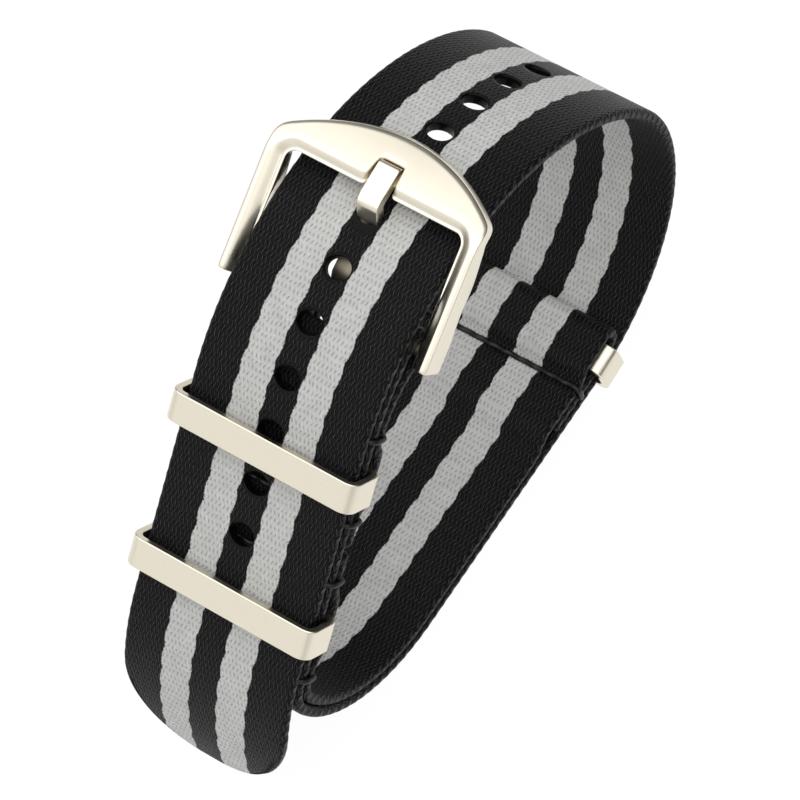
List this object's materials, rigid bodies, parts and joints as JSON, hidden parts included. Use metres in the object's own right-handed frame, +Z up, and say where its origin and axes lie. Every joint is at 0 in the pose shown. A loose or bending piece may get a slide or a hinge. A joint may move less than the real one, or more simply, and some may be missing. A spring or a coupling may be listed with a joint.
{
  "type": "nato watch strap",
  "caption": "Pass-through watch strap of striped nylon webbing, buckled into a loop, with a pin buckle, flat metal keepers in sewn pockets and a ring at the short strap's end.",
  "frame": {"origin": "middle of the loop's footprint across and along, at the lowest point of the ring that it lies on", "axes": "+X across the strap, +Y along the flat stretch from the keepers' side to the bend past the ring, +Z up from the flat stretch to the buckle"},
  "size_m": [0.0274, 0.0828, 0.0561],
  "materials": {
    "webbing": "black seat-belt weave nylon with two light grey stripes and a slight sheen",
    "steel": "satin stainless steel with polished edges",
    "thread": "black sewing thread"
  },
  "bodies": {
    "strap": {"long_strap": "webbing", "short_strap": "webbing", "buckle_fold_stitching": "thread", "splice_upper_stitching": "thread", "splice_lower_stitching": "thread", "pocket_end_stitching": "thread", "ring_fold_stitching": "thread"},
    "buckle": {"buckle_frame": "steel", "buckle_pin": "steel"},
    "prong": {"buckle_prong": "steel"},
    "upper_keeper": {"upper_keeper": "steel"},
    "lower_keeper": {"lower_keeper": "steel"},
    "ring": {"strap_ring": "steel"}
  },
  "joints": [
    {"name": "buckle_hinge", "type": "hinge", "parent": "strap", "child": "buckle", "pos_m": [0, -0.00276, 0.04672], "axis": [1, 0, 0], "range_deg": [-4, 3]},
    {"name": "prong_hinge", "type": "hinge", "parent": "buckle", "child": "prong", "pos_m": [0, -0.00276, 0.04672], "axis": [1, 0, 0], "range_deg": [0, 2]},
    {"name": "upper_keeper_slide", "type": "slide", "parent": "strap", "child": "upper_keeper", "axis": [0, 0.6835, 0.73], "range_m": [-0.0006, 0.0006]},
    {"name": "lower_keeper_slide", "type": "slide", "parent": "strap", "child": "lower_keeper", "axis": [0, 0.6835, 0.73], "range_m": [-0.0006, 0.0006]},
    {"name": "ring_hinge", "type": "hinge", "parent": "strap", "child": "ring", "pos_m": [0, 0.02136, 0.00493], "axis": [1, 0, 0], "range_deg": [-4, 4]}
  ]
}
